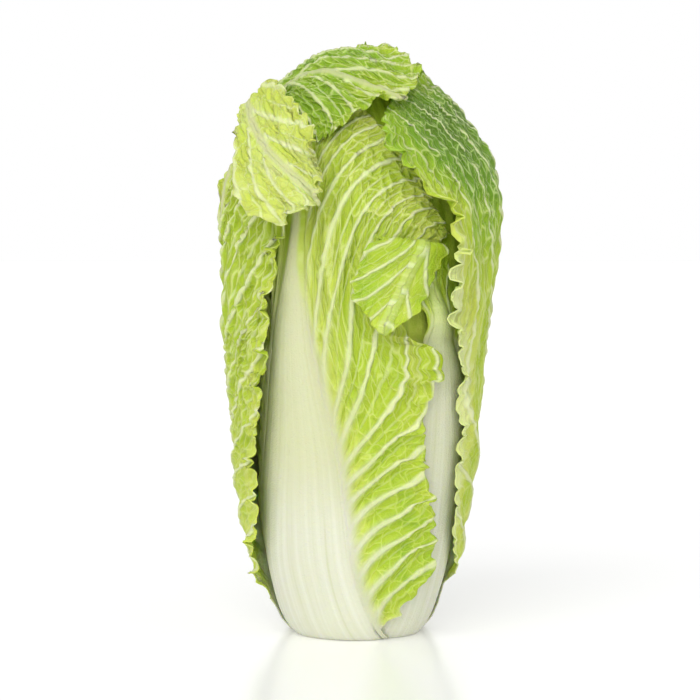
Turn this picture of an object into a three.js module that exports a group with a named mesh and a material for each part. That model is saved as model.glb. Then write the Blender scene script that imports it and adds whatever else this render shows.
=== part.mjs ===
// A head of chinese cabbage standing on its cut butt, as picked and trimmed.
// Millimetres, +Z up, origin at the middle of the cut face. The best side faces -Y.
//
// A head is one short stem with leaves packed round it. Here the packed inner leaves are one
// body, the heart, and each loose outer leaf is a piece of its own: a thick pale stalk, flat and
// broad at its foot, that narrows into the midrib of a thin, pleated, frilled blade.
// Every leaf is laid on what is already wrapped, so the leaves lie on each other and never cross.
import * as THREE from "three";

// Driving dimensions of the packed head, under the outer leaves.
const CROWN_Z = 200; // height of the widest girth, where the dome starts
const GIRTH_R = 59.5;
const CROWN_LEAN = 6; // how far the crown stands off the axis of the stem, towards -X
const DOME_H = 90;
const BUTT_R = 22; // radius of the stem at the cut face
const SIDE = [
  [0, BUTT_R], [6, 28], [16, 33], [37, 39.5], [67, 45], [92, 49.5], [118, 53], [143, 56.5],
  [169, 58.5], [CROWN_Z, GIRTH_R],
]; // radius at heights of its side
const STEM_H = 14; // height at which the packed leaves close over the stem
const STEM_CORE_H = 62; // how far the tapering core of the stem reaches into the heart
const STEM_CORE_R = 13;
const DOME_ARC = 75; // distance along the dome for each radian
const DOME_END = CROWN_Z + (DOME_ARC * Math.PI) / 2;
const WRAP_DEPTH = 10; // half the depth of the outer leaves, where their widths are measured

// Leaf flesh
const BLADE_T = 1.3; // thickness of the blade
const RIB_HALF = 3.2; // half width of the midrib near the tip
const STALK_NECK = 112; // height at which the stalk is half as broad
const STALK_TAPER = 34; // distance over which it narrows there
const LAY_GAP = 1.1; // air between a leaf and what it lies on
const PLEAT = 2.3; // depth of the folds along the side veins
const HIDDEN_PLEAT = 0.4; // share of that depth where a leaf is pressed under its neighbours
const LOBE = 4.0; // how far the points of the cut edge stand out

// Net of each leaf
const ROWS = 24;
const STALK_COLUMNS = 3; // on each side of the midrib
const BLADE_COLUMNS = 5; // on each side of the stalk
const FINE = 4; // samples along a facet when a leaf is added to the wrapped surface

const rad = THREE.MathUtils.degToRad;
const smooth = THREE.MathUtils.smoothstep;
const mix = THREE.MathUtils.lerp;

// Shape of the packed head, as a radius at each height of its side.
const packedRadius = (z) => through(SIDE, z);

// A point of the head: its bearing from the front, its way up the side and over the dome,
// and its height off the packed surface.
function place(bearing, along, off) {
  let r = packedRadius(along) + off;
  let z = along;
  let lean = 0;
  if (along > CROWN_Z) {
    const rise = (along - CROWN_Z) / DOME_ARC;
    const out = Math.cos(rise) / GIRTH_R;
    const up = Math.sin(rise) / DOME_H;
    const size = Math.hypot(out, up);
    r = GIRTH_R * Math.cos(rise) + (off * out) / size;
    z = CROWN_Z + DOME_H * Math.sin(rise) + (off * up) / size;
    lean = CROWN_LEAN * Math.sin(rise) ** 2;
  }
  return new THREE.Vector3(r * Math.sin(bearing) - lean, -r * Math.cos(bearing), z);
}

// Bearing and way up the head of a leaf's point: across from its midrib, along from its foot.
// Past the crown a leaf runs on over the dome, and its sides keep their distance from the midrib,
// or gather towards the middle of the crown with the rest of the head.
function onHead(leaf, across, along) {
  const azimuth = rad(leaf.azimuth);
  if (along <= CROWN_Z || leaf.gathers) {
    return [azimuth + across / (packedRadius(along) + WRAP_DEPTH), along];
  }
  const side = across / (GIRTH_R + WRAP_DEPTH);
  const over = (along - CROWN_Z) / DOME_ARC;
  const ahead = Math.cos(side) * Math.cos(over);
  const rise = Math.asin(Math.cos(side) * Math.sin(over));
  return [azimuth + Math.atan2(Math.sin(side), ahead), CROWN_Z + DOME_ARC * rise];
}

// A smooth curve through [place, value] pairs.
function through(pairs, at) {
  const last = pairs.length - 1;
  if (at <= pairs[0][0]) return pairs[0][1];
  if (at >= pairs[last][0]) return pairs[last][1];
  const i = pairs.findIndex((pair) => pair[0] > at) - 1;
  const slope = (a, b) => (pairs[b][1] - pairs[a][1]) / (pairs[b][0] - pairs[a][0]);
  const step = pairs[i + 1][0] - pairs[i][0];
  const before = slope(Math.max(i - 1, 0), i + 1) * step;
  const after = slope(i, Math.min(i + 2, last)) * step;
  const t = (at - pairs[i][0]) / step;
  const [a, b] = [pairs[i][1], pairs[i + 1][1]];
  return (
    a * (1 + 2 * t) * (1 - t) ** 2 +
    b * t * t * (3 - 2 * t) +
    before * t * (1 - t) ** 2 -
    after * t * t * (1 - t)
  );
}

// The wrapped surface: how high the leaves laid so far stand off the packed head.
const MAP_STEP = 2.5;
const MAP_ROWS = Math.ceil(DOME_END / MAP_STEP) + 1;
const MAP_COLUMNS = 180;
const CELL = (2 * Math.PI) / MAP_COLUMNS;
const SETTLE = 13; // how far a leaf bridges before it follows what is under it

function girthAt(row) {
  const along = row * MAP_STEP;
  if (along <= CROWN_Z) return packedRadius(along) + WRAP_DEPTH;
  return (GIRTH_R + WRAP_DEPTH) * Math.cos((along - CROWN_Z) / DOME_ARC);
}

// Takes the highest value, or the mean, of the cells within reach of each cell.
function filtered(map, reach, highest) {
  const rowReach = Math.round(reach / MAP_STEP);
  const pass = (from, span, cell) => {
    const made = new Float32Array(from.length);
    for (let row = 0; row < MAP_ROWS; row++) {
      for (let column = 0; column < MAP_COLUMNS; column++) {
        let best = 0;
        const n = span(row);
        for (let k = -n; k <= n; k++) {
          const value = from[cell(row, column, k)];
          best = highest ? Math.max(best, value) : best + value / (2 * n + 1);
        }
        made[row * MAP_COLUMNS + column] = best;
      }
    }
    return made;
  };
  const turned = (column) => (column + 2 * MAP_COLUMNS) % MAP_COLUMNS;
  const around = pass(
    map,
    (row) => Math.min(Math.ceil(reach / (CELL * Math.max(girthAt(row), 1))), MAP_COLUMNS / 2),
    (row, column, k) => row * MAP_COLUMNS + turned(column + k),
  );
  return pass(
    around,
    () => rowReach,
    (row, column, k) => {
      const up = Math.max(row + k, 0);
      const past = up >= MAP_ROWS;
      const real = past ? 2 * MAP_ROWS - 1 - up : up;
      return real * MAP_COLUMNS + turned(past ? column + MAP_COLUMNS / 2 : column);
    },
  );
}

function heightIn(map, bearing, along) {
  const y = Math.min(Math.max(along / MAP_STEP, 0), MAP_ROWS - 1.001);
  const x = ((bearing / CELL) % MAP_COLUMNS) + MAP_COLUMNS;
  const [row, column] = [Math.floor(y), Math.floor(x)];
  const cell = (r, c) => map[r * MAP_COLUMNS + (c % MAP_COLUMNS)];
  const low = mix(cell(row, column), cell(row, column + 1), x - column);
  const high = mix(cell(row + 1, column), cell(row + 1, column + 1), x - column);
  return mix(low, high, y - row);
}

let wrapped = new Float32Array(MAP_ROWS * MAP_COLUMNS);
const support = () => filtered(filtered(wrapped, SETTLE, true), SETTLE * 0.8, false);

// Half width of a leaf's stalk, which becomes its midrib.
function stalkHalf(leaf, along) {
  const neck = 1 + Math.exp((along - STALK_NECK * leaf.stalk) / (leaf.taper ?? STALK_TAPER));
  return RIB_HALF + (leaf.foot - RIB_HALF) / neck;
}

// Thickness of a leaf: a stalk with a full back, and an even blade.
function thickness(leaf, fromMidrib, along) {
  const half = stalkHalf(leaf, along);
  const back = Math.max(1 - (fromMidrib / half) ** 2, 0) ** 1.5;
  const full = mix(leaf.full, BLADE_T * 1.6, smooth(along, 70, 240));
  return BLADE_T + (full - BLADE_T) * back;
}

// One point of a leaf's net, flat: row from the foot, column from the midrib.
function flatPoint(leaf, row, column) {
  const t = row / ROWS;
  const side = Math.sign(column);
  const step = Math.abs(column);
  const columns = STALK_COLUMNS + BLADE_COLUMNS;
  const f = step / columns;
  const slant = (leaf.slant ?? 0) * side * f;
  const along = leaf.length * t - (leaf.shoulder * f ** 2 - slant) * t ** 3;
  const half = stalkHalf(leaf, along);
  const reach = through(side < 0 ? leaf.left : leaf.right, along);
  const blade = Math.max(reach - half, 2.5);
  const edge = step === columns;
  const outmost = edge || row === ROWS;
  const point = row % 2 ? 1 : 0;
  let fromMidrib = (half * step) / STALK_COLUMNS;
  if (step > STALK_COLUMNS) {
    const share = (step - STALK_COLUMNS) / BLADE_COLUMNS;
    const lobe = edge ? LOBE * (point - 0.5) * Math.min(blade / 15, 1) : 0;
    fromMidrib = half + blade * share + lobe;
  }
  // Side veins run up and outwards, with a fold between each two of them.
  const bladeStep = Math.max(step - STALK_COLUMNS, 0);
  const onVein = (row + bladeStep) % 2 === 0;
  const wing = Math.min(blade / 25, 1) * Math.min(bladeStep, 1);
  const nearTip = smooth(t, 0.8, 1);
  const loose = leaf.emerges ? smooth(along, ...leaf.emerges) : 1;
  const curl = Math.max(smooth(f, 0.55, 1) * Math.min(bladeStep, 1), nearTip) * loose;
  const frill = leaf.frill[side < 0 ? 0 : 1] * curl;
  const pleat = PLEAT * mix(HIDDEN_PLEAT, 1, loose);
  const fold = bladeStep > 0 || row === ROWS ? pleat * wing + frill * Math.max(wing, nearTip) : 0;
  const tipPoint = row === ROWS && step % 2 ? LOBE : 0;
  return {
    across: side * fromMidrib + through(leaf.lean, along),
    along: along + tipPoint,
    thick: thickness(leaf, fromMidrib, along),
    rise: onVein || (outmost && point) ? fold : 0,
  };
}

// Folds the flat leaf over its crease, if it has one. Gives where a point lands, how far it is
// round the fold, and how far the sheet has turned.
function creased(leaf, point) {
  const made = { ...point, turn: 0, lift: 0, dirAcross: 0, dirAlong: 1 };
  if (!leaf.crease) return made;
  const { across, along, tilt, radius } = leaf.crease;
  const dirAcross = Math.sin(rad(tilt));
  const dirAlong = Math.cos(rad(tilt));
  const past = (point.across - across) * dirAcross + (point.along - along) * dirAlong;
  if (past <= 0) return made;
  const round = Math.PI * radius;
  const turn = Math.min(past / radius, Math.PI);
  const reach = past < round ? radius * Math.sin(turn) : round - past;
  made.across += dirAcross * (reach - past);
  made.along += dirAlong * (reach - past);
  return { ...made, turn, lift: 1 - Math.cos(turn), dirAcross, dirAlong };
}

// Sets a leaf's net on the head. Rows below leaf.emerges lie on what was there when its foot was
// laid, and the rest on what is there now.
function layOn(leaf, foot, now) {
  const columns = STALK_COLUMNS + BLADE_COLUMNS;
  const net = [];
  for (let row = 0; row <= ROWS; row++) {
    const line = [];
    for (let column = -columns; column <= columns; column++) {
      const point = creased(leaf, flatPoint(leaf, row, column));
      const [bearing, up] = onHead(leaf, point.across, point.along);
      const out = leaf.emerges && !point.turn ? smooth(point.along, ...leaf.emerges) : 1;
      const under = mix(heightIn(foot, bearing, up), heightIn(now, bearing, up), out);
      const fold = leaf.crease ? leaf.crease.radius * point.lift : 0;
      const relief = point.rise * (1 - point.turn / Math.PI);
      const puff = leaf.puff ? through(leaf.puff, point.along) : 0;
      point.off = under + LAY_GAP + point.thick / 2 + relief + fold + puff;
      line.push(point);
    }
    net.push(line);
  }
  return net;
}

// A face point of the leaf: 1 for its back, which faces out, and -1 for its inner face.
function facePoint(leaf, point, face) {
  const half = (face * point.thick) / 2;
  const lean = half * Math.sin(point.turn);
  const across = point.across + lean * point.dirAcross;
  const along = Math.max(point.along + lean * point.dirAlong, 0);
  const [bearing, up] = onHead(leaf, across, along);
  return { bearing, up, off: point.off + half * Math.cos(point.turn) };
}

// Adds a leaf to the wrapped surface, or only its foot below a height.
function addToWrapped(leaf, net, below) {
  const outer = net.map((line) =>
    line.map((point) => {
      const face = Math.cos(point.turn) < 0 ? -1 : 1;
      return { ...facePoint(leaf, point, face), along: point.turn ? Infinity : point.along };
    }),
  );
  const ease = (a, b, t) => a + (b - a) * t;
  const turnTo = (from, to, t) => {
    const gap = Math.atan2(Math.sin(to - from), Math.cos(to - from));
    return from + gap * t;
  };
  for (let row = 0; row < outer.length - 1; row++) {
    for (let column = 0; column < outer[0].length - 1; column++) {
      const [a, b] = [outer[row][column], outer[row][column + 1]];
      const [c, d] = [outer[row + 1][column], outer[row + 1][column + 1]];
      if (Math.min(a.along, b.along) > below) continue;
      for (let i = 0; i <= FINE; i++) {
        for (let j = 0; j <= FINE; j++) {
          const [u, v] = [i / FINE, j / FINE];
          const bearing = turnTo(turnTo(a.bearing, b.bearing, u), turnTo(c.bearing, d.bearing, u), v);
          const up = ease(ease(a.up, b.up, u), ease(c.up, d.up, u), v);
          const off = ease(ease(a.off, b.off, u), ease(c.off, d.off, u), v);
          const mapRow = Math.min(Math.round(up / MAP_STEP), MAP_ROWS - 1);
          const mapColumn = (Math.round(bearing / CELL) + 4 * MAP_COLUMNS) % MAP_COLUMNS;
          const cell = mapRow * MAP_COLUMNS + mapColumn;
          wrapped[cell] = Math.max(wrapped[cell], off);
        }
      }
    }
  }
}

// The closed solid between a net's two faces. Both faces are split into the same triangles,
// along the side veins.
function leafSolid(leaf, net) {
  const width = net[0].length;
  const middle = (width - 1) / 2;
  const corners = [1, -1].flatMap((face) =>
    net.flatMap((line) =>
      line.flatMap((point) => {
        const at = facePoint(leaf, point, face);
        return place(at.bearing, at.up, at.off).toArray();
      }),
    ),
  );
  const inner = net.length * width;
  const triangles = [];
  const wall = (a, b) => triangles.push(a, a + inner, b, b, a + inner, b + inner);
  for (let row = 0; row < net.length - 1; row++) {
    for (let column = 0; column < width - 1; column++) {
      const a = row * width + column;
      const [b, c, d] = [a + 1, a + width, a + width + 1];
      const split = column >= middle ? [a, b, d, a, d, c] : [a, b, c, b, d, c];
      triangles.push(...split);
      for (let i = 0; i < 6; i += 3) {
        triangles.push(split[i] + inner, split[i + 2] + inner, split[i + 1] + inner);
      }
    }
  }
  const top = (net.length - 1) * width;
  for (let column = 0; column < width - 1; column++) {
    wall(column, column + 1);
    wall(top + column + 1, top + column);
  }
  for (let row = 0; row < net.length - 1; row++) {
    wall((row + 1) * width, row * width);
    wall(row * width + width - 1, (row + 1) * width + width - 1);
  }
  return new THREE.BufferGeometry()
    .setAttribute("position", new THREE.Float32BufferAttribute(corners, 3))
    .setIndex(triangles);
}

// The outer leaves. azimuth is the bearing of the foot from the front, to the right. left and
// right are how far the leaf reaches from its midrib at each distance from the foot.
const FRONT = {
  name: "leaf_front",
  azimuth: -34,
  length: 276,
  shoulder: 16,
  stalk: 1.05,
  foot: 35,
  full: 6.4,
  frill: [1, 5],
  lean: [[0, -4], [37, -8], [70, -6], [94, -3], [171, -1], [221, 4], [276, 9]],
  left: [
    [0, 23], [8, 31], [18, 38], [37, 42], [70, 37], [92, 31], [118, 26], [142, 20], [156, 14],
    [180, 13], [230, 15], [276, 10],
  ],
  right: [
    [0, 34], [6, 36], [16, 49], [37, 71], [67, 73], [92, 69], [118, 70], [144, 82], [156, 64],
    [180, 62], [200, 84], [216, 90], [236, 78], [252, 62], [264, 50], [276, 36],
  ],
  puff: [[0, 0], [20, 1.5], [45, 2.5], [90, 1], [150, 0], [276, 0]],
};
const FRONT_RIGHT = {
  name: "leaf_front_right",
  azimuth: 38,
  length: 250,
  shoulder: 14,
  stalk: 1.2,
  taper: 12,
  foot: 34,
  full: 6.4,
  frill: [1.5, 1],
  lean: [
    [0, 4], [40, 8], [60, 10], [100, 9], [120, 7], [148, 3], [165, -2], [184, -9], [200, -15],
    [250, -27],
  ],
  left: [
    [0, 34], [60, 33], [120, 24], [142, 10], [165, 10], [182, 18], [200, 22], [225, 24], [241, 18],
    [250, 10],
  ],
  right: [
    [0, 34], [30, 34], [60, 31], [120, 26], [150, 28], [168, 24], [184, 17], [200, 14], [225, 13],
    [241, 11], [250, 8],
  ],
  emerges: [150, 168],
  crease: { across: -15, along: 197, tilt: 6, radius: 3 },
};
const RIGHT = {
  name: "leaf_right",
  azimuth: 118,
  gathers: 1,
  length: 282,
  shoulder: 8,
  stalk: 1.05,
  foot: 22,
  full: 5,
  frill: [5, 5],
  lean: [[0, 10], [18, 8], [40, 1], [92, -4], [118, -6], [150, -8], [282, -8]],
  left: [
    [0, 14], [18, 18], [28, 32], [40, 48], [67, 61], [118, 70], [150, 85], [180, 94], [203, 94],
    [213, 94], [226, 110], [236, 120], [248, 120], [262, 108], [274, 88], [282, 62],
  ],
  right: [[0, 22], [30, 27], [67, 38], [118, 46], [170, 50], [230, 50], [260, 46], [282, 34]],
  puff: [[0, 0], [150, 0], [200, 3], [232, 4], [256, 1], [282, 0]],
};
const BACK_RIGHT = {
  name: "leaf_back_right",
  azimuth: 166,
  length: 308,
  shoulder: 26,
  stalk: 1,
  foot: 26,
  full: 5.6,
  frill: [2, 2],
  lean: [[0, 0], [308, -6]],
  left: [[0, 26], [30, 30], [67, 42], [118, 58], [170, 72], [230, 78], [280, 70], [308, 46]],
  right: [[0, 26], [30, 30], [67, 42], [118, 56], [170, 66], [230, 70], [280, 66], [308, 46]],
};
const BACK_LEFT = {
  name: "leaf_back_left",
  azimuth: -116,
  length: 368,
  shoulder: 14,
  slant: -9,
  stalk: 1.05,
  foot: 22,
  full: 4.2,
  frill: [3, 4],
  lean: [
    [0, -13], [30, -20], [61, -22], [118, -16], [190, -4], [230, 5], [270, 20], [318, 34],
    [368, 34],
  ],
  left: [[0, 20], [30, 27], [67, 40], [118, 46], [170, 50], [230, 50], [300, 52], [342, 42], [368, 20]],
  right: [
    [0, 20], [30, 26], [67, 36], [118, 38], [170, 36], [230, 26], [262, 20], [284, 28], [306, 34],
    [334, 33], [354, 28], [368, 18],
  ],
  emerges: [256, 278],
};
const LEFT_INNER = {
  name: "leaf_left_inner",
  azimuth: -70,
  length: 330,
  shoulder: 10,
  stalk: 0.9,
  foot: 14,
  full: 2.6,
  frill: [1.5, 2.5],
  lean: [[0, 4], [230, 2], [246, 0], [262, -5], [285, -14], [300, -19], [330, -27]],
  left: [
    [0, 12], [30, 20], [67, 32], [118, 36], [170, 34], [214, 29], [230, 22], [242, 14], [252, 8],
    [262, 7], [274, 8], [284, 14], [293, 21], [303, 24], [317, 21], [330, 10],
  ],
  right: [
    [0, 12], [30, 20], [67, 28], [118, 28], [150, 22], [200, 20], [225, 14], [244, 13], [262, 15],
    [285, 21], [302, 25], [318, 21], [330, 9],
  ],
  puff: [[0, 0], [195, 0], [212, 2], [226, 3], [246, 1.5], [264, 0], [330, 0]],
  emerges: [236, 247],
  crease: { across: -1, along: 253, tilt: -42, radius: 3 },
};
const LEFT = {
  name: "leaf_left",
  azimuth: -128,
  gathers: 1,
  length: 227,
  shoulder: 4,
  slant: 10,
  stalk: 1,
  foot: 20,
  full: 4.4,
  frill: [0.6, 5],
  lean: [[0, -10], [20, -8], [42, 3], [61, 8], [108, 18], [150, 28], [190, 44], [227, 60]],
  left: [[0, 18], [30, 28], [61, 42], [108, 56], [150, 60], [190, 56], [212, 50], [227, 38]],
  right: [
    [0, 19], [16, 25], [25, 34], [40, 50], [61, 61], [92, 66], [118, 72], [150, 75], [175, 70],
    [208, 62], [227, 50],
  ],
  puff: [[0, 0], [30, 0.5], [60, 3], [100, 4.5], [150, 3], [200, 1], [227, 0]],
};

// The order in which the leaves lie on each other, from the heart outwards. A leaf whose blade
// comes out over its neighbours has its foot laid first, on its own.
const WRAPPING = [
  { leaf: BACK_RIGHT },
  { leaf: BACK_LEFT, footOnly: true },
  { leaf: FRONT_RIGHT, footOnly: true },
  { leaf: LEFT_INNER, footOnly: true },
  { leaf: FRONT },
  { leaf: FRONT_RIGHT },
  { leaf: RIGHT },
  { leaf: BACK_LEFT },
  { leaf: LEFT },
  { leaf: LEFT_INNER },
];

function material(colour, roughness) {
  return new THREE.MeshStandardMaterial({ color: colour, roughness, metalness: 0 });
}

// The stem: a flat cut face below, and a tapering core that the packed leaves grow from.
function stem() {
  const outline = [
    [0, 0],
    [BUTT_R - 0.6, 0],
    [packedRadius(STEM_H * 0.5) - 0.8, STEM_H * 0.5],
    [packedRadius(STEM_H) - 0.8, STEM_H - 0.4],
    [STEM_CORE_R, STEM_H - 0.4],
    [STEM_CORE_R * 0.75, STEM_CORE_H * 0.6],
    [STEM_CORE_R * 0.35, STEM_CORE_H * 0.93],
    [0, STEM_CORE_H],
  ].map(([r, z]) => new THREE.Vector2(r, z));
  const mesh = new THREE.Mesh(new THREE.LatheGeometry(outline, 28), material(0xf0edd8, 0.55));
  mesh.geometry.rotateX(Math.PI / 2);
  mesh.name = "stem";
  return mesh;
}

// The heart: the packed inner leaves, whose backs and folded tips show as ridges and furrows.
const HEART_SIDES = 32;
const HEART_ROWS = 22;
const HEART_LEAVES = 5;
const SOCKET_GAP = 0.5;

function heart() {
  const lines = [
    [STEM_CORE_R * 0.35 + SOCKET_GAP, STEM_CORE_H + 1],
    [STEM_CORE_R * 0.75 + SOCKET_GAP, STEM_CORE_H * 0.6],
    [STEM_CORE_R + SOCKET_GAP, STEM_H],
  ].map(([r, z]) =>
    Array.from({ length: HEART_SIDES }, (_, i) => {
      const bearing = (i / HEART_SIDES) * 2 * Math.PI;
      return [r * Math.sin(bearing), -r * Math.cos(bearing), z];
    }),
  );
  for (let row = 0; row < HEART_ROWS; row++) {
    const along = mix(STEM_H, DOME_END - 7, row / (HEART_ROWS - 1));
    lines.push(
      Array.from({ length: HEART_SIDES }, (_, i) => {
        const bearing = (i / HEART_SIDES) * 2 * Math.PI;
        const spiral = HEART_LEAVES * (bearing + along / 90);
        const furrow = 1.4 * Math.abs(Math.sin(spiral / 2)) + 0.7 * ((i + row) % 2);
        const depth = furrow * smooth(along, STEM_H, 60) + 0.8;
        return place(bearing, along, -depth).toArray();
      }),
    );
  }
  const corners = [[0, 0, STEM_CORE_H + 2], ...lines.flat(), [0, 0, CROWN_Z + DOME_H - 1]].flat();
  const last = corners.length / 3 - 1;
  const triangles = [];
  for (let i = 0; i < HEART_SIDES; i++) {
    const next = (i + 1) % HEART_SIDES;
    triangles.push(0, 1 + i, 1 + next);
    for (let line = 0; line < lines.length - 1; line++) {
      const [a, b] = [1 + line * HEART_SIDES + i, 1 + line * HEART_SIDES + next];
      const [c, d] = [a + HEART_SIDES, b + HEART_SIDES];
      triangles.push(a, d, b, a, c, d);
    }
    const top = 1 + (lines.length - 1) * HEART_SIDES;
    triangles.push(top + i, last, top + next);
  }
  for (let i = 0; i < triangles.length; i += 3) {
    [triangles[i + 1], triangles[i + 2]] = [triangles[i + 2], triangles[i + 1]];
  }
  const geometry = new THREE.BufferGeometry()
    .setAttribute("position", new THREE.Float32BufferAttribute(corners, 3))
    .setIndex(triangles);
  const mesh = new THREE.Mesh(geometry, material(0xe9efb4, 0.55));
  mesh.name = "heart";
  return mesh;
}

const cabbage = new THREE.Group();
cabbage.add(stem(), heart());
const feet = new Map();
for (const { leaf, footOnly } of WRAPPING) {
  const now = support();
  const foot = feet.get(leaf) ?? now;
  feet.set(leaf, foot);
  const net = layOn(leaf, foot, now);
  if (footOnly) {
    addToWrapped(leaf, net, leaf.emerges[0]);
    continue;
  }
  addToWrapped(leaf, net, Infinity);
  const mesh = new THREE.Mesh(leafSolid(leaf, net), material(0xb9d96a, 0.5));
  mesh.name = leaf.name;
  cabbage.add(mesh);
}

export default cabbage;
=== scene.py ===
import bpy
import numpy as np
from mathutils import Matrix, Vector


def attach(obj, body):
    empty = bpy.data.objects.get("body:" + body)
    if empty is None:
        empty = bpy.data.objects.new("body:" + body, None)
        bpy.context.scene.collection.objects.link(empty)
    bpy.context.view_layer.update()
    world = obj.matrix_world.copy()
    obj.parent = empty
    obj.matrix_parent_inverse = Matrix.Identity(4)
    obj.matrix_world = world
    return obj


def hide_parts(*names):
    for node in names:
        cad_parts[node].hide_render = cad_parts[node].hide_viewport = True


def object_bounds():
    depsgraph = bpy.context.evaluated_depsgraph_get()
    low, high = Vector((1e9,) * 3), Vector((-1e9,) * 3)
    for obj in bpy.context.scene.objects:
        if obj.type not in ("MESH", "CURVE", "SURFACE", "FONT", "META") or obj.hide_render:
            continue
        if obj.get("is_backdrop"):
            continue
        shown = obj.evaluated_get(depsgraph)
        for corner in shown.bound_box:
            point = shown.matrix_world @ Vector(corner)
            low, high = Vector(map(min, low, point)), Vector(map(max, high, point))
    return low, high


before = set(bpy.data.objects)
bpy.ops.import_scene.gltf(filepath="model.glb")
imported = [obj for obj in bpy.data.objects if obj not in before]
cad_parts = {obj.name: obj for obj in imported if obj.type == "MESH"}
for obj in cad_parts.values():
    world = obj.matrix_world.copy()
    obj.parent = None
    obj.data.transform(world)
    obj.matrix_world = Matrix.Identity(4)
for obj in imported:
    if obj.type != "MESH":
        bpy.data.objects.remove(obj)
cad_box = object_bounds()

# The stem
# The short solid core that every leaf grows from, cut straight across below with a knife.
# Its cut face is firm, moist and cream, with a ring of strands that has begun to dry.

METRE = 0.001
CROWN_Z = 200.0  # height of the widest girth, where the dome starts
GIRTH_R = 59.5
CROWN_LEAN = 6.0  # how far the crown stands off the axis of the stem, towards -X
DOME_H = 90.0
DOME_ARC = 75.0  # distance along the dome for each radian
DOME_END = CROWN_Z + DOME_ARC * np.pi / 2
BUTT_R = 22.0  # radius of the stem at the cut face
SIDE = [
    [0, BUTT_R], [6, 28], [16, 33], [37, 39.5], [67, 45], [92, 49.5], [118, 53], [143, 56.5],
    [169, 58.5], [CROWN_Z, GIRTH_R],
]  # radius at heights of its side
STEM_H = 14.0
STEM_CORE_H = 62.0
STEM_CORE_R = 13.0
STEM_SIDES = 96


def through(pairs, at):
    """A smooth curve through [place, value] pairs."""
    x = np.array([pair[0] for pair in pairs], dtype=float)
    y = np.array([pair[1] for pair in pairs], dtype=float)
    last = len(pairs) - 1
    at = np.clip(at, x[0], x[last])
    i = np.clip(np.searchsorted(x, at, side="right") - 1, 0, last - 1)
    before, after = np.maximum(i - 1, 0), np.minimum(i + 2, last)
    step = x[i + 1] - x[i]
    first = (y[i + 1] - y[before]) / (x[i + 1] - x[before]) * step
    second = (y[after] - y[i]) / (x[after] - x[i]) * step
    t = (at - x[i]) / step
    return (
        y[i] * (1 + 2 * t) * (1 - t) ** 2
        + y[i + 1] * t * t * (3 - 2 * t)
        + first * t * (1 - t) ** 2
        - second * t * t * (1 - t)
    )


def packed_radius(z):
    """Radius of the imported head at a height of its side."""
    return through(SIDE, z)


def colour_at(nodes, links, factor, stops):
    """A colour ramp through (place, red, green, blue) stops."""
    ramp = nodes.new("ShaderNodeValToRGB")
    ramp.color_ramp.interpolation = "EASE"
    while len(ramp.color_ramp.elements) < len(stops):
        ramp.color_ramp.elements.new(0.5)
    for element, (at, *colour) in zip(ramp.color_ramp.elements, stops):
        element.position = at
        element.color = (*colour, 1)
    links.new(factor, ramp.inputs["Fac"])
    return ramp.outputs["Color"]


def new_material(name):
    """A material with its Principled shader, and the nodes and links to build it with."""
    made = bpy.data.materials.new(name)
    made.use_nodes = True
    nodes = made.node_tree.nodes
    links = made.node_tree.links
    return made, nodes, links, nodes["Principled BSDF"]


def mesh_piece(name, corners, faces, material, smooth=True):
    """An object at the origin from corners in millimetres."""
    mesh = bpy.data.meshes.new(name)
    mesh.from_pydata([], [], [])
    mesh.vertices.add(len(corners))
    mesh.vertices.foreach_set("co", (np.asarray(corners, dtype=np.float32) * METRE).ravel())
    faces = np.asarray(faces, dtype=np.int32)
    sides = faces.shape[1]
    mesh.loops.add(faces.size)
    mesh.loops.foreach_set("vertex_index", faces.ravel())
    mesh.polygons.add(len(faces))
    mesh.polygons.foreach_set("loop_start", np.arange(0, faces.size, sides, dtype=np.int32))
    mesh.update(calc_edges=True)
    mesh.polygons.foreach_set("use_smooth", np.full(len(faces), smooth))
    mesh.materials.append(material)
    piece = bpy.data.objects.new(name, mesh)
    bpy.context.scene.collection.objects.link(piece)
    return piece


def cut_flesh():
    made, nodes, links, shader = new_material("cut flesh")
    place = nodes.new("ShaderNodeTexCoord")
    flat = nodes.new("ShaderNodeMapping")
    flat.inputs["Scale"].default_value = (1, 1, 0)
    links.new(place.outputs["Object"], flat.inputs["Vector"])
    radius = nodes.new("ShaderNodeVectorMath")
    radius.operation = "LENGTH"
    links.new(flat.outputs["Vector"], radius.inputs[0])
    grain = nodes.new("ShaderNodeTexNoise")
    grain.inputs["Scale"].default_value = 420
    grain.inputs["Detail"].default_value = 6
    links.new(place.outputs["Object"], grain.inputs["Vector"])
    wander = nodes.new("ShaderNodeMath")
    wander.operation = "MULTIPLY_ADD"
    wander.inputs[1].default_value = 0.006
    links.new(grain.outputs["Fac"], wander.inputs[0])
    links.new(radius.outputs["Value"], wander.inputs[2])
    across = nodes.new("ShaderNodeMapRange")
    across.inputs["From Max"].default_value = BUTT_R * METRE + 0.006
    links.new(wander.outputs["Value"], across.inputs["Value"])
    rings = colour_at(nodes, links, across.outputs["Result"], [
        (0.0, 0.86, 0.84, 0.62),
        (0.42, 0.80, 0.77, 0.52),
        (0.60, 0.62, 0.52, 0.27),
        (0.70, 0.78, 0.73, 0.46),
        (0.92, 0.84, 0.82, 0.60),
        (1.0, 0.66, 0.58, 0.36),
    ])
    links.new(rings, shader.inputs["Base Color"])
    bump = nodes.new("ShaderNodeBump")
    bump.inputs["Strength"].default_value = 0.35
    bump.inputs["Distance"].default_value = 0.0004
    links.new(grain.outputs["Fac"], bump.inputs["Height"])
    links.new(bump.outputs["Normal"], shader.inputs["Normal"])
    shader.inputs["Roughness"].default_value = 0.42
    shader.inputs["Subsurface Weight"].default_value = 0.2
    shader.inputs["Subsurface Radius"].default_value = (0.8, 0.9, 0.4)
    shader.inputs["Subsurface Scale"].default_value = 0.004
    return made


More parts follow.
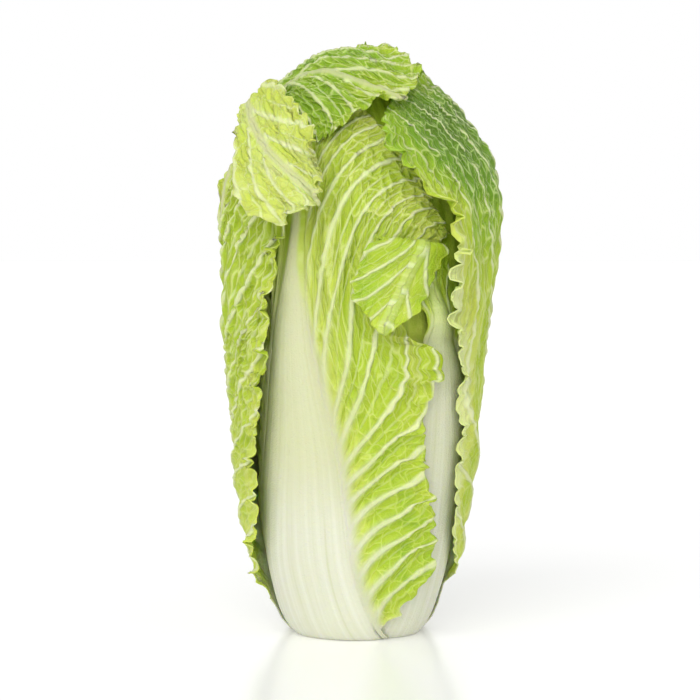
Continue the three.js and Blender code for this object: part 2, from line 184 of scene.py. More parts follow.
def turned(outline, sides):
    """Corners and faces of an outline of (radius, z) turned about the axis, with no caps on its ends."""
    bearing = np.arange(sides) / sides * 2 * np.pi
    r = np.array([point[0] for point in outline])[:, None]
    z = np.array([point[1] for point in outline])[:, None]
    rings = np.stack([r * np.sin(bearing), -r * np.cos(bearing), z + 0 * bearing], axis=-1)
    corners = rings.reshape(-1, 3)
    near = np.arange(sides)
    far = (near + 1) % sides
    faces = []
    for ring in range(len(outline) - 1):
        low, high = ring * sides, (ring + 1) * sides
        faces.append(np.stack([low + near, low + far, high + far, high + near], axis=1))
    return corners, np.concatenate(faces)


knife_wave = [(BUTT_R - 0.6) * (1 - k / 14) for k in range(14)][::-1]
stem_outline = [(0.4, 0.0)] + [(r, 0.0) for r in knife_wave] + [
    (BUTT_R - 0.2, 0.4),
    (packed_radius(STEM_H * 0.5) - 0.8, STEM_H * 0.5),
    (packed_radius(STEM_H) - 0.8, STEM_H - 0.4),
    (STEM_CORE_R, STEM_H - 0.4),
    (STEM_CORE_R * 0.75, STEM_CORE_H * 0.6),
    (STEM_CORE_R * 0.35, STEM_CORE_H * 0.93),
    (0.4, STEM_CORE_H),
]
stem = mesh_piece("stem_cut", *turned(stem_outline, STEM_SIDES), cut_flesh())
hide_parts("stem")
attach(stem, "root")


# The wrapped surface
# Every leaf lies on those inside it. What is wrapped so far is kept as a height over the packed
# head, at each bearing and each distance along its side, and each new leaf settles on it.

WRAP_DEPTH = 10.0  # half the depth of the outer leaves, where their widths are measured
LAY_GAP = 1.1  # air between a leaf and what it lies on
SETTLE = 12.0  # how far a leaf bridges before it follows what is under it
MARGIN_SETTLE = 7.0  # the same, for its soft margin
MAP_STEP = 2.0
MAP_ROWS = int(np.ceil(DOME_END / MAP_STEP)) + 1
MAP_COLUMNS = 216
CELL = 2 * np.pi / MAP_COLUMNS


def place(bearing, along, off):
    """Points of the head from a bearing, a way up its side and over its dome, and a height."""
    rise = np.maximum(along - CROWN_Z, 0) / DOME_ARC
    out, up = np.cos(rise) / GIRTH_R, np.sin(rise) / DOME_H
    size = np.hypot(out, up)
    dome = along > CROWN_Z
    r = np.where(dome, GIRTH_R * np.cos(rise) + off * out / size, packed_radius(along) + off)
    z = np.where(dome, CROWN_Z + DOME_H * np.sin(rise) + off * up / size, along)
    lean = CROWN_LEAN * np.sin(rise) ** 2
    return np.stack([r * np.sin(bearing) - lean, -r * np.cos(bearing), z], axis=-1)


def on_head(leaf, across, along):
    """Bearing and way up the head of a leaf's points: across its midrib, along from its foot.

    Past the crown its sides keep their distance from the midrib, or gather with the head.
    """
    azimuth = np.radians(leaf["azimuth"])
    side_bearing = azimuth + across / (packed_radius(along) + WRAP_DEPTH)
    side = across / (GIRTH_R + WRAP_DEPTH)
    over = (along - CROWN_Z) / DOME_ARC
    ahead = np.cos(side) * np.cos(over)
    rise = np.arcsin(np.clip(np.cos(side) * np.sin(over), -1, 1))
    dome_bearing = azimuth + np.arctan2(np.sin(side), ahead)
    dome = (along > CROWN_Z) & (not leaf.get("gathers"))
    return np.where(dome, dome_bearing, side_bearing), np.where(dome, CROWN_Z + DOME_ARC * rise, along)


def girth_at(row):
    along = row * MAP_STEP
    side = packed_radius(along) + WRAP_DEPTH
    dome = (GIRTH_R + WRAP_DEPTH) * np.cos(np.maximum(along - CROWN_Z, 0) / DOME_ARC)
    return np.where(along <= CROWN_Z, side, dome)


def filtered(heights, reach, highest):
    """Takes the highest value, or the mean, of the cells within reach of each cell."""
    rows = np.arange(MAP_ROWS)
    spans = np.ceil(reach / (CELL * np.maximum(girth_at(rows), 1)))
    spans = np.minimum(spans, MAP_COLUMNS // 2).astype(int)
    best = heights.copy()
    for k in range(1, spans.max() + 1):
        within = (spans >= k)[:, None]
        for turn in (k, -k):
            other = np.roll(heights, turn, axis=1)
            joined = np.maximum(best, other) if highest else best + other
            best = np.where(within, joined, best)
    if not highest:
        best = best / (2 * spans + 1)[:, None]
    reach_rows = int(round(reach / MAP_STEP))
    over_top = np.roll(best[::-1][:reach_rows], MAP_COLUMNS // 2, axis=1)
    below_foot = np.repeat(best[:1], reach_rows, axis=0)
    tall = np.concatenate([below_foot, best, over_top])
    slices = [tall[k:k + MAP_ROWS] for k in range(2 * reach_rows + 1)]
    return np.max(slices, axis=0) if highest else np.mean(slices, axis=0)


def height_in(heights, bearing, along):
    y = np.clip(along / MAP_STEP, 0, MAP_ROWS - 1.001)
    x = (bearing / CELL) % MAP_COLUMNS
    row, column = np.floor(y).astype(int), np.floor(x).astype(int) % MAP_COLUMNS
    after = (column + 1) % MAP_COLUMNS
    u, v = x - np.floor(x), y - row
    low = heights[row, column] * (1 - u) + heights[row, after] * u
    high = heights[row + 1, column] * (1 - u) + heights[row + 1, after] * u
    return low * (1 - v) + high * v


wrapped = np.zeros((MAP_ROWS, MAP_COLUMNS))


def support(settle):
    return filtered(filtered(wrapped, settle, True), settle * 0.8, False)


# The leaf blade
# Thin, pleated, blistered leaf flesh round a stalk that is thick and white at its foot. Side veins
# stand out on its back and run up to the points of its cut and frilled edge.

BLADE_T = 1.3
MARGIN_T = 0.55
RIB_HALF = 3.2
STALK_NECK = 112.0
STALK_TAPER = 34.0
PLEAT = 2.3
LOBE = 4.0
FRILL_BAND = 13.0  # how much of a margin curls
CURL = 2.1  # radians it curls over at most
DRAWN_IN = 0.4  # share of the curl that narrows the leaf: a frill is longer than the leaf is wide
CRINKLE = 1.4  # height of the small crinkles beside it
VEIN_PITCH = 13.5  # from one main side vein to the next, along the stalk
VEIN_LEAD = 7.0  # how far a side vein follows the stalk before it leaves it
STALK_SHARE = 0.375
ROWS = 230
STALK_COLUMNS = 14
BLADE_COLUMNS = 44


def smooth(value, low, high):
    t = np.clip((value - low) / (high - low), 0, 1)
    return t * t * (3 - 2 * t)


def mix(a, b, t):
    return a + (b - a) * t


def wander(x, y, seed):
    """Smooth random values from -1 to 1, one lump for each unit of x and y."""
    lattice = np.random.default_rng(seed).uniform(-1, 1, (64, 64))
    column, row = np.floor(x).astype(int), np.floor(y).astype(int)
    u, v = x - column, y - row
    u, v = u * u * (3 - 2 * u), v * v * (3 - 2 * v)
    corner = lambda i, j: lattice[(row + j) % 64, (column + i) % 64]
    low = corner(0, 0) * (1 - u) + corner(1, 0) * u
    high = corner(0, 1) * (1 - u) + corner(1, 1) * u
    return low * (1 - v) + high * v


def stalk_half(leaf, along):
    neck = 1 + np.exp((along - STALK_NECK * leaf["stalk"]) / leaf.get("taper", STALK_TAPER))
    return RIB_HALF + (leaf["foot"] - RIB_HALF) / neck


def frilled(path, inward, seed):
    """How far a margin curls over, from 0 to 1, and how far it sways, along its length."""
    uneven = path + 7 * wander(path / 27, inward / 40, seed) + 3 * wander(path / 11, inward / 18, seed + 1)
    long_wave = 2 * np.pi * uneven / 21
    short_wave = 2 * np.pi * uneven / 9.1 + 1.8 * wander(path / 13, inward / 12, seed + 2)
    tight_wave = 2 * np.pi * uneven / 4.7 + 2.2 * wander(path / 7, inward / 9, seed + 3)
    strength = 0.95 + 0.65 * wander(path / 23, 0 * path, seed + 4)
    wave = 0.44 * np.sin(long_wave) + 0.42 * np.sin(short_wave) + 0.14 * np.sin(tight_wave)
    sway = 1.8 * np.cos(long_wave) + 1.0 * np.cos(short_wave) + 0.2 * np.cos(tight_wave)
    return np.clip(0.5 + 0.72 * wave * strength, 0, 1), sway * np.minimum(strength, 0.9)


def curled(inward, band, angle):
    """A band along a margin bent outwards by an angle: how far it draws in, and how far it rises."""
    used = np.clip(band - inward, 0, None)
    turned_by = np.maximum(angle, 0.02) * used / np.maximum(band, 0.1)
    radius = np.maximum(band, 0.1) / np.maximum(angle, 0.02)
    return used - radius * np.sin(turned_by), radius * (1 - np.cos(turned_by))


def net_plane(x, y, seed):
    """Where the small veins are drawn: along the side veins and across them, a little warped."""
    bent = x * 0.68 + 2.4 * wander(x / 9, y / 9, seed + 12) + 1.1 * wander(x / 4, y / 4, seed + 13)
    risen = y + 2.4 * wander(x / 9, y / 9, seed + 14) + 1.1 * wander(x / 4, y / 4, seed + 15)
    return np.stack([bent, risen, 0 * bent], axis=-1)


def flat_leaf(leaf, free_sides=0, free_tip=0, free=0):
    """The leaf laid flat: where each point lies, how thick it is, and what is drawn on it.

    Its margins curl where its sides and its tip are free, from 0 to 1, and its folds are
    shallow where other leaves press on it.
    """
    seed = leaf["seed"]
    t = np.linspace(0, 1, ROWS + 1)[:, None]
    count = STALK_COLUMNS + BLADE_COLUMNS
    column = np.arange(-count, count + 1)[None, :]
    side = np.where(column < 0, -1.0, 1.0)
    step = np.abs(column)
    in_stalk = np.minimum(step / STALK_COLUMNS, 1)
    share = np.clip((step - STALK_COLUMNS) / BLADE_COLUMNS, 0, 1)
    share = share + 0.22 * share * (1 - share)
    from_middle = STALK_SHARE * in_stalk + (1 - STALK_SHARE) * share
    slant = leaf.get("slant", 0) * side * from_middle
    along = leaf["length"] * t - (leaf["shoulder"] * from_middle**2 - slant) * t**3
    half = stalk_half(leaf, along)
    reach = np.where(side < 0, through(leaf["left"], along), through(leaf["right"], along))
    blade = np.maximum(reach - half, 2.5)
    beyond = blade * share
    inward = blade * (1 - share)
    from_tip = (1 - t) * leaf["length"] + 0 * share

    # Side veins leave the stalk steeply, further up almost along it, and bend outwards.
    first = mix(leaf["slope"][0], leaf["slope"][1], smooth(along, 90, 230))
    slope = first * (0.42 + 0.58 * np.exp(-beyond / 45))
    lean = np.sqrt(1 + slope**2)
    climb = first * (0.42 * beyond + 0.58 * 45 * (1 - np.exp(-beyond / 45)))
    level = along - climb - VEIN_LEAD * (1 - np.exp(-beyond / 7))
    level = level + 3.6 * wander(level / 31 + 9 * side, 0 * level, seed + 3)
    level = level + 2.0 * wander(beyond / 15, level / 17 + 7 * side, seed + 4)
    pitch = VEIN_PITCH * (0.8 + 0.35 * first) * leaf.get("pitch", 1)
    turn = level / pitch + 0.25 * side
    to_main = np.abs(turn - np.round(turn)) * pitch / lean
    between = np.abs(turn - 0.5 - np.round(turn - 0.5)) * pitch / lean
    out_width = mix(1.7, 0.7, smooth(beyond, 0, 50))
    main_vein = np.exp(-((to_main / out_width) ** 2)) * smooth(beyond, -1, 3)
    forked = np.exp(-((between / 0.9) ** 2)) * smooth(beyond, 8, 22)
    vein = np.maximum(main_vein, 0.7 * forked)

    # The cut edge stands out where the veins end, with uneven lobes and small teeth between.
    points = 0.9 - 2.2 * np.abs(turn - np.round(turn))
    lobed_path = along + 4 * wander(along / 17, 2 * side, seed + 7)
    lobes = 1.1 - 2.1 * np.abs(np.sin(np.pi * lobed_path / 7.4 + side)) ** 1.5
    lobes = lobes * (0.7 + 0.5 * wander(along / 19, 4 * side, seed + 8))
    teeth = wander(along / 2.4, 3 * side, seed + 5)
    lobe = (LOBE * 0.3 * points - 1.5 * lobes + 0.9 * teeth) * np.minimum(blade / 15, 1) * share**3
    ends = smooth(t, 0.8, 1)
    tip_path = side * (half * in_stalk + beyond)
    tip_ripple = wander(tip_path / 6.5, 0 * tip_path, seed + 8)
    tip_ripple = tip_ripple + 0.4 * wander(tip_path / 2.9, 0 * tip_path, seed + 9)
    tip_lobe = 1.8 * tip_ripple * smooth(t, 0.9, 1)

    # Its margins curl over in frills, less so low down.
    frill = np.where(side < 0, leaf["frill"][0], leaf["frill"][1]) / 5
    wing = np.minimum(blade / 25, 1) * np.minimum(beyond / 6, 1)
    side_wave, side_sway = frilled(along, inward, seed + 10)
    side_angle = CURL * frill * side_wave * free_sides * mix(leaf["low"], 1, smooth(along, 90, 200))
    side_in, side_up = curled(inward, FRILL_BAND * np.minimum(blade / 30, 1), side_angle)
    tip = leaf["tip"] / 5
    tip_wave, tip_sway = frilled(tip_path, from_tip, seed + 20)
    tip_in, tip_up = curled(from_tip, FRILL_BAND + 0 * from_tip, CURL * tip * tip_wave * free_tip)
    near_side = smooth(FRILL_BAND * 1.6 - inward, 0, FRILL_BAND * 1.6) * wing
    near_tip = smooth(FRILL_BAND * 1.6 - from_tip, 0, FRILL_BAND * 1.6)
    crease = 1 - np.minimum(to_main / (pitch / lean / 2), 1) ** 1.4
    calm = 1 - 0.5 * np.maximum(near_side, near_tip)
    swell = 0.7 * (1 + wander(along / 26, beyond / 22 + 11 * side, seed + 9))
    pleats = PLEAT * leaf.get("pleats", 1)
    folds = wing * calm * (pleats * crease + swell + 0.9 * vein) * mix(0.35, 1, free)
    ruffled = np.maximum(frill * near_side * free_sides, tip * near_tip * free_tip)
    crinkle = CRINKLE * (1 + wander(along / 5 + 3 * side, beyond / 5, seed + 16)) * ruffled
    rise = folds + crinkle + side_up + tip_up
    hug = np.maximum(smooth(share, 0.35, 0.95) * wing, ends)

    from_midrib = half * in_stalk + beyond + lobe - DRAWN_IN * side_in + tip * tip_sway * near_tip * 0.5
    back = 1 - in_stalk**2
    full = mix(leaf["full"], BLADE_T * 1.6, smooth(along, 70, 240))
    skin = mix(BLADE_T, MARGIN_T, np.maximum(smooth(share, 0.1, 0.9), ends))
    thick = skin + (full - skin) * back
    across = side * from_midrib + through(leaf["lean"], along)
    sideways = frill * side_sway * near_side * 0.8
    worn = (beyond + leaf.get("fine", 0)) * smooth(blade, 4, 18)
    green_tip = smooth(along / leaf["length"], 0.52, 0.76)
    white_vein = 0.78 * main_vein * (1 - smooth(beyond, 4, 34)) * (1 - 0.8 * green_tip)
    blade_mask = smooth(beyond, 0, mix(1.5, 9, smooth(half, 4, 16)))
    pale_half = mix(half, 0.5, green_tip)
    beside_midrib = smooth(half * in_stalk, pale_half, pale_half + 2.6) * green_tip
    blade_mask = np.maximum(blade_mask, beside_midrib) * (1 - white_vein)
    blade_mask = np.maximum(blade_mask, leaf.get("faint", 0) * green_tip)
    blade_mask = blade_mask * smooth(blade + 100 * green_tip, 2.5, 7)
    netted = mix(0.4, 1, smooth(along / leaf["length"], 0.3, 0.7)) * leaf.get("netted", 1)
    return {
        "across": across,
        "along": np.maximum(along + tip_lobe - tip_in + sideways, 0),
        "thick": thick,
        "rise": rise,
        "hug": hug,
        "net": net_plane(side * (beyond * lean + 40), level / lean, seed),
        "grain": np.stack([side * in_stalk * leaf["foot"] + 0 * along, along], axis=-1),
        "blade": blade_mask,
        "netted": netted * mix(0.6, 1, free),
        "margin": np.maximum(smooth(share, 0.62, 1.0) * np.minimum(blade / 20, 1), smooth(t, 0.9, 1)),
        "beyond": beyond,
        "side veins": np.stack(np.broadcast_arrays(turn, pitch / lean, worn), axis=-1),
    }


def creased(leaf, flat):
    """Folds the flat leaf over its crease. Adds how far each point has turned and lifted."""
    across, along = flat["across"], flat["along"]
    flat["turn"] = np.zeros_like(along)
    flat["lift"] = np.zeros_like(along)
    if "crease" not in leaf:
        return flat
    fold = leaf["crease"]
    dir_across, dir_along = np.sin(np.radians(fold["tilt"])), np.cos(np.radians(fold["tilt"]))
    radius = fold["radius"]
    past = (across - fold["across"]) * dir_across + (along - fold["along"]) * dir_along
    half_turn = np.pi * radius
    turn = np.clip(past / radius, 0, np.pi)
    reach = np.where(past < half_turn, radius * np.sin(turn), half_turn - past)
    moved = np.where(past > 0, reach - past, 0)
    flat["across"] = across + dir_across * moved
    flat["along"] = along + dir_along * moved
    flat["turn"] = np.where(past > 0, turn, 0)
    flat["lift"] = 1 - np.cos(flat["turn"])
    return flat


pressed_on = {}  # for each leaf, where the leaves laid over it press its margins flat


def press_flat(laid_in_order):
    """Finds where each leaf is covered by those laid after it."""
    covered = np.zeros((MAP_ROWS, MAP_COLUMNS))
    for leaf in reversed(laid_in_order):
        pressed_on[leaf["name"]] = filtered(filtered(covered, 5.0, True), 5.0, False)
        flat = creased(leaf, flat_leaf(leaf))
        bearing, up = on_head(leaf, flat["across"], flat["along"])
        over = flat["along"] + 0 * up > leaf.get("emerges", [0])[0]
        rows = np.clip(np.round(up / MAP_STEP), 0, MAP_ROWS - 1).astype(int)[over]
        columns = (np.round(bearing / CELL).astype(int) % MAP_COLUMNS)[over]
        covered[rows, columns] = 1


def free_margins(leaf):
    """How free a leaf is: its two sides row by row, its tip column by column, and all of it."""
    flat = creased(leaf, flat_leaf(leaf))
    bearing, up = on_head(leaf, flat["across"], flat["along"])
    free = 1 - height_in(pressed_on[leaf["name"]], bearing, up)
    if "emerges" in leaf:
        free = free * np.where(flat["turn"] > 0, 1, smooth(flat["along"], *leaf["emerges"]))
    middle = free.shape[1] // 2
    sides = np.repeat(free[:, [0, -1]], [middle, middle + 1], axis=1)
    return sides, free[-1:], free


feet = {}


def lay_leaf(leaf):
    """Sets the flat leaf on what is wrapped, and gives its middle surface as a grid of points."""
    now, close = support(SETTLE), support(MARGIN_SETTLE)
    foot = feet.setdefault(leaf["name"], now)
    flat = creased(leaf, flat_leaf(leaf, *free_margins(leaf)))
    bearing, up = on_head(leaf, flat["across"], flat["along"])
    out = np.ones_like(up)
    if "emerges" in leaf:
        out = np.where(flat["turn"] > 0, 1, smooth(flat["along"], *leaf["emerges"]))
    top = mix(height_in(now, bearing, up), height_in(close, bearing, up), flat["hug"])
    under = mix(height_in(foot, bearing, up), top, out)
    radius = leaf["crease"]["radius"] if "crease" in leaf else 0
    puff = through(leaf["puff"], flat["along"]) if "puff" in leaf else 0
    relief = flat["rise"] * (1 - 0.2 * np.sin(flat["turn"] / 2) ** 2)
    off = under + LAY_GAP + flat["thick"] / 2 + relief + radius * flat["lift"] + puff
    return flat, bearing, up, off


def add_to_wrapped(flat, bearing, up, off, below=np.inf):
    """Raises the wrapped surface to the outside of a leaf, or of its foot below a height."""
    reached = np.where((flat["turn"] > 0) & np.isfinite(below), np.inf, flat["along"])
    keep = np.broadcast_to(reached <= below, up.shape)
    rows = np.clip(np.round(up / MAP_STEP), 0, MAP_ROWS - 1).astype(int)[keep]
    columns = (np.round(bearing / CELL).astype(int) % MAP_COLUMNS)[keep]
    np.maximum.at(wrapped, (rows, columns), (off + flat["thick"] / 2)[keep])


def socket(tree, name, kind, in_out="INPUT", value=None):
    made = tree.interface.new_socket(name, in_out=in_out, socket_type=kind)
    if value is not None:
        made.default_value = value
    return made


def blister_tree():
    """Geometry Nodes that sink the cells of flesh between the small veins of a sheet."""
    tree = bpy.data.node_groups.new("blistered blade", "GeometryNodeTree")
    socket(tree, "Sheet", "NodeSocketGeometry")
    socket(tree, "Cells per millimetre", "NodeSocketFloat", value=0.16)
    socket(tree, "Depth", "NodeSocketFloat", value=0.0009)
    socket(tree, "Crumple", "NodeSocketFloat", value=0.0008)
    socket(tree, "Flesh", "NodeSocketMaterial")
    socket(tree, "Sheet", "NodeSocketGeometry", "OUTPUT")
    nodes, links = tree.nodes, tree.links
    given = nodes.new("NodeGroupInput")
    made = nodes.new("NodeGroupOutput")

    def attribute(name, kind):
        node = nodes.new("GeometryNodeInputNamedAttribute")
        node.data_type = kind
        node.inputs["Name"].default_value = name
        return node.outputs["Attribute"]

    def sums(operation, a, b):
        node = nodes.new("ShaderNodeMath")
        node.operation = operation
        for slot, value in enumerate((a, b)):
            if isinstance(value, (int, float)):
                node.inputs[slot].default_value = value
            else:
                links.new(value, node.inputs[slot])
        return node.outputs["Value"]

    cells = nodes.new("ShaderNodeTexVoronoi")
    cells.voronoi_dimensions = "2D"
    cells.feature = "DISTANCE_TO_EDGE"
    links.new(attribute("net", "FLOAT_VECTOR"), cells.inputs["Vector"])
    links.new(given.outputs["Cells per millimetre"], cells.inputs["Scale"])
    sunk = nodes.new("ShaderNodeMapRange")
    sunk.interpolation_type = "SMOOTHSTEP"
    sunk.inputs["From Max"].default_value = 0.34
    links.new(cells.outputs["Distance"], sunk.inputs["Value"])
    lumps = nodes.new("ShaderNodeTexNoise")
    lumps.noise_dimensions = "3D"
    lumps.inputs["Scale"].default_value = 95
    lumps.inputs["Detail"].default_value = 2
    links.new(nodes.new("GeometryNodeInputPosition").outputs["Position"], lumps.inputs["Vector"])
    centred = sums("SUBTRACT", lumps.outputs["Fac"], 0.35)
    pits = sums("MULTIPLY", sunk.outputs["Result"], given.outputs["Depth"])
    crumple = sums("MULTIPLY", centred, given.outputs["Crumple"])
    height = sums("MULTIPLY", sums("SUBTRACT", crumple, pits), attribute("blade", "FLOAT"))
    push = nodes.new("ShaderNodeVectorMath")
    push.operation = "SCALE"
    links.new(nodes.new("GeometryNodeInputNormal").outputs["Normal"], push.inputs[0])
    links.new(height, push.inputs["Scale"])
    moved = nodes.new("GeometryNodeSetPosition")
    links.new(given.outputs["Sheet"], moved.inputs["Geometry"])
    links.new(push.outputs["Vector"], moved.inputs["Offset"])
    real = nodes.new("GeometryNodeRealizeInstances")
    links.new(moved.outputs["Geometry"], real.inputs["Geometry"])
    dressed = nodes.new("GeometryNodeSetMaterial")
    links.new(real.outputs["Geometry"], dressed.inputs["Geometry"])
    links.new(given.outputs["Flesh"], dressed.inputs["Material"])
    links.new(dressed.outputs["Geometry"], made.inputs["Sheet"])
    return tree


def set_input(modifier, name, value):
    """Sets a named input of a Geometry Nodes modifier by its identifier."""
    items = modifier.node_group.interface.items_tree
    found = next(i for i in items if i.name == name and i.in_out == "INPUT")
    modifier[found.identifier] = value


def vein_group():
    """Shader group: the net of small veins on a blade, and its height for a bump."""
    tree = bpy.data.node_groups.new("small veins", "ShaderNodeTree")
    socket(tree, "Net", "NodeSocketVector")
    socket(tree, "Cells per millimetre", "NodeSocketFloat", value=0.16)
    socket(tree, "Veins", "NodeSocketFloat", "OUTPUT")
    socket(tree, "Height", "NodeSocketFloat", "OUTPUT")
    nodes, links = tree.nodes, tree.links
    given = nodes.new("NodeGroupInput")
    made = nodes.new("NodeGroupOutput")

    def net(scale_by, width, softness):
        size = nodes.new("ShaderNodeMath")
        size.operation = "MULTIPLY"
        size.inputs[1].default_value = scale_by
        links.new(given.outputs["Cells per millimetre"], size.inputs[0])
        cells = nodes.new("ShaderNodeTexVoronoi")
        cells.voronoi_dimensions = "2D"
        cells.feature = "DISTANCE_TO_EDGE"
        links.new(given.outputs["Net"], cells.inputs["Vector"])
        links.new(size.outputs["Value"], cells.inputs["Scale"])
        line = nodes.new("ShaderNodeMapRange")
        line.interpolation_type = "SMOOTHSTEP"
        line.inputs["From Min"].default_value = width
        line.inputs["From Max"].default_value = width + softness
        line.inputs["To Min"].default_value = 1
        line.inputs["To Max"].default_value = 0
        links.new(cells.outputs["Distance"], line.inputs["Value"])
        return line.outputs["Result"]

    fine = net(2.3, 0.0, 0.12)
    weak = nodes.new("ShaderNodeMath")
    weak.operation = "MULTIPLY"
    weak.inputs[1].default_value = 0.3
    links.new(fine, weak.inputs[0])
    both = nodes.new("ShaderNodeMath")
    both.operation = "MAXIMUM"
    links.new(net(1.0, 0.0, 0.08), both.inputs[0])
    links.new(weak.outputs["Value"], both.inputs[1])
    links.new(both.outputs["Value"], made.inputs["Veins"])
    raised = nodes.new("ShaderNodeMath")
    raised.operation = "MULTIPLY_ADD"
    raised.inputs[1].default_value = 0.35
    links.new(fine, raised.inputs[0])
    links.new(net(1.0, 0.0, 0.30), raised.inputs[2])
    links.new(raised.outputs["Value"], made.inputs["Height"])
    return tree


def side_vein_group():
    """Shader group: the side veins of a blade, thick near the stalk and forking further out."""
    tree = bpy.data.node_groups.new("side veins", "ShaderNodeTree")
    socket(tree, "Turn", "NodeSocketFloat")
    socket(tree, "Spacing", "NodeSocketFloat")
    socket(tree, "Beyond the stalk", "NodeSocketFloat")
    socket(tree, "Main veins", "NodeSocketFloat", "OUTPUT")
    socket(tree, "Forks", "NodeSocketFloat", "OUTPUT")
    nodes, links = tree.nodes, tree.links
    given = nodes.new("NodeGroupInput")
    made = nodes.new("NodeGroupOutput")

    def sums(operation, *values):
        node = nodes.new("ShaderNodeMath")
        node.operation = operation
        for slot, value in enumerate(values):
            if isinstance(value, (int, float)):
                node.inputs[slot].default_value = value
            else:
                links.new(value, node.inputs[slot])
        return node.outputs["Value"]

    def ramped(value, low, high, first, last):
        node = nodes.new("ShaderNodeMapRange")
        node.interpolation_type = "SMOOTHSTEP"
        for name, number in (("From Min", low), ("From Max", high), ("To Min", first), ("To Max", last)):
            node.inputs[name].default_value = number
        links.new(value, node.inputs["Value"])
        return node.outputs["Result"]

    turn, spacing = given.outputs["Turn"], given.outputs["Spacing"]
    beyond = given.outputs["Beyond the stalk"]

    def lines(each, shift, width):
        """Lines at every so many of a turn: 1 on the line, 0 beyond its width in millimetres."""
        shifted = sums("ADD", sums("MULTIPLY", turn, each), shift)
        off = sums("ABSOLUTE", sums("SUBTRACT", shifted, sums("ROUND", shifted)))
        distance = sums("DIVIDE", sums("MULTIPLY", off, spacing), each)
        share = sums("DIVIDE", distance, width)
        return ramped(share, 0.25, 1.0, 1, 0)

    main = sums("MULTIPLY", lines(1, 0, ramped(beyond, 0, 90, 1.5, 1.0)), ramped(beyond, 0.5, 3, 0, 1))
    second = sums("MULTIPLY", lines(1, 0.5, 0.75), ramped(beyond, 8, 22, 0, 0.65))
    third = sums("MULTIPLY", lines(2, 0.5, 0.45), ramped(beyond, 20, 38, 0, 0.35))
    links.new(main, made.inputs["Main veins"])
    links.new(sums("MAXIMUM", second, third), made.inputs["Forks"])
    return tree


CELLS_PER_MM = 0.2
small_veins = vein_group()
side_veins = side_vein_group()


